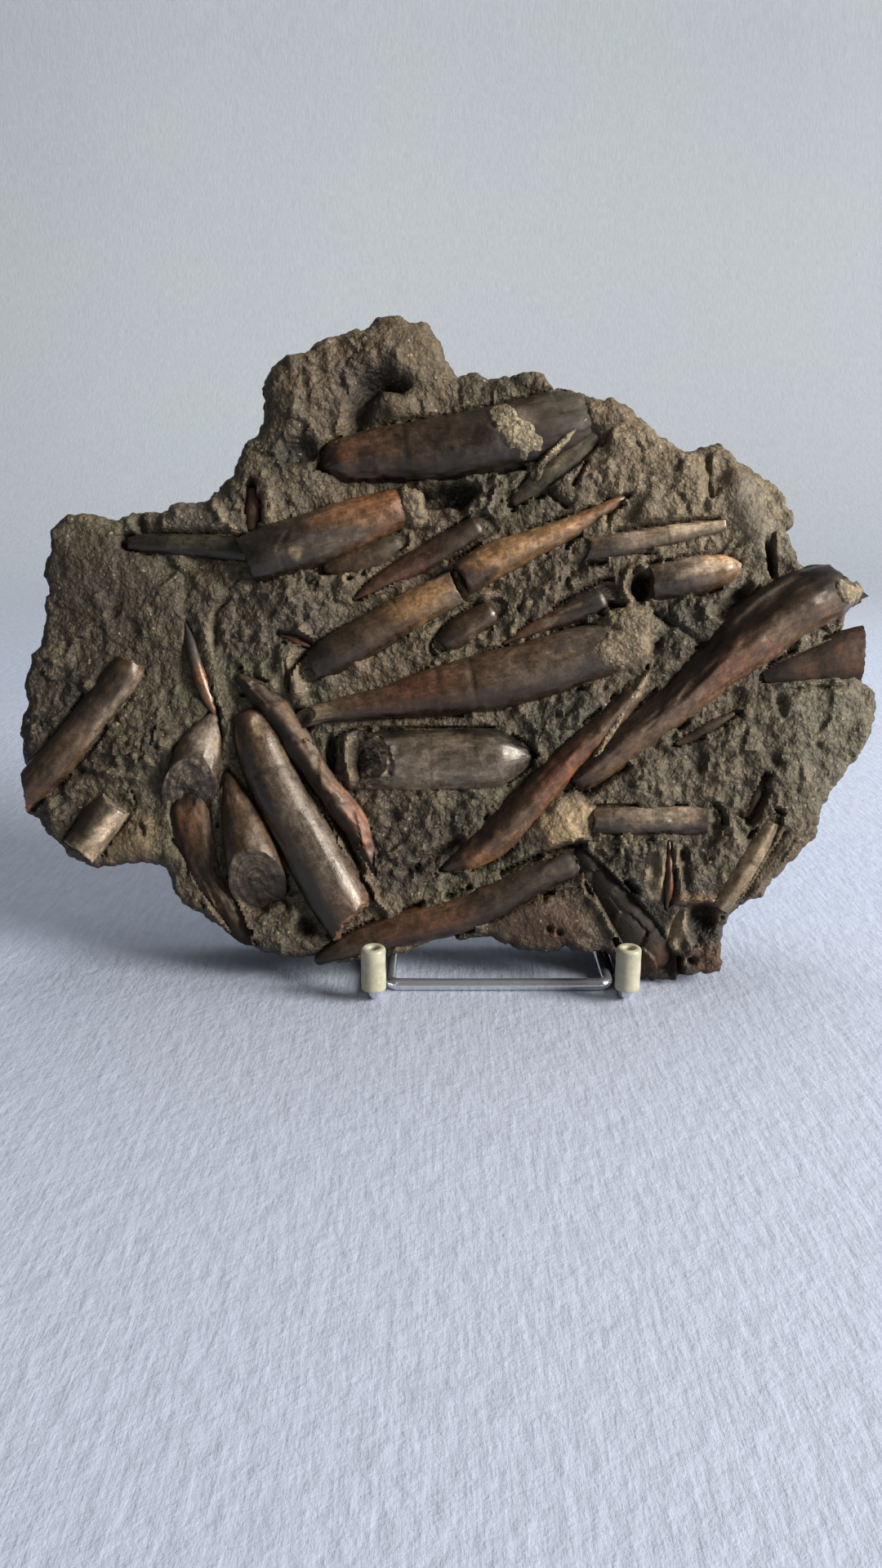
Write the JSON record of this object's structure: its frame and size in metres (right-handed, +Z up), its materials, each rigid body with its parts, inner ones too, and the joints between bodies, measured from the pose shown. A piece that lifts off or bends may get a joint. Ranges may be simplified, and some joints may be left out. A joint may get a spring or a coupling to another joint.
{
  "type": "belemnite fossil plate",
  "caption": "Slab of grey-brown rock crowded with bullet-shaped belemnite guards, leaning back on a small bent-wire display stand with plastic-sleeved hooks.",
  "frame": {"origin": "centre of the bottom of the whole object's box, on the surface it stands on", "axes": "+X to the right along the plate's width, +Y from the plate's face to the stand's rear foot, +Z up"},
  "size_m": [0.2122, 0.0955, 0.158],
  "materials": {
    "stone": "rough, granular, matt",
    "calcite_dark": "smooth, semi-gloss, dark brown",
    "calcite_brown": "smooth, semi-gloss, red-brown",
    "calcite_pale": "smooth, semi-gloss, grey to gold brown",
    "chrome_wire": "bright plated steel wire",
    "sleeve_plastic": "soft cream translucent plastic"
  },
  "bodies": {
    "root": {"belemnite_top_big": "calcite_dark", "belemnite_left_thin": "calcite_dark", "belemnite_small_lens": "calcite_dark", "belemnite_centre_dark": "calcite_dark", "belemnite_dark_slip": "calcite_dark", "belemnite_left_long": "calcite_dark", "belemnite_bottom": "calcite_dark", "belemnite_small_dark": "calcite_dark", "belemnite_under_right": "calcite_dark", "belemnite_strip": "calcite_dark", "belemnite_charcoal": "calcite_dark", "belemnite_middle_stub": "calcite_brown", "belemnite_long_cone": "calcite_brown", "belemnite_crushed_ridge": "calcite_brown", "belemnite_lower_left": "calcite_brown", "belemnite_ring_end": "calcite_brown", "belemnite_right_big": "calcite_brown", "belemnite_crossing": "calcite_brown", "belemnite_red_tip": "calcite_brown", "belemnite_right_cone": "calcite_brown", "belemnite_red_blade": "calcite_brown", "belemnite_sliver": "calcite_brown", "belemnite_upper_left": "calcite_pale", "belemnite_bullet": "calcite_pale", "belemnite_bright": "calcite_pale", "belemnite_left_stub": "calcite_pale", "belemnite_left_short": "calcite_pale", "belemnite_upper_right_thin": "calcite_pale", "belemnite_cylinder": "calcite_pale", "belemnite_edge_strip": "calcite_pale", "belemnite_greenish": "calcite_pale", "belemnite_golden": "calcite_pale", "belemnite_lit": "calcite_pale", "belemnite_needle": "calcite_pale", "matrix": "stone", "stand_back_frame": "chrome_wire", "stand_base_frame": "chrome_wire", "sleeve_left": "sleeve_plastic", "sleeve_right": "sleeve_plastic"}
  },
  "joints": []
}
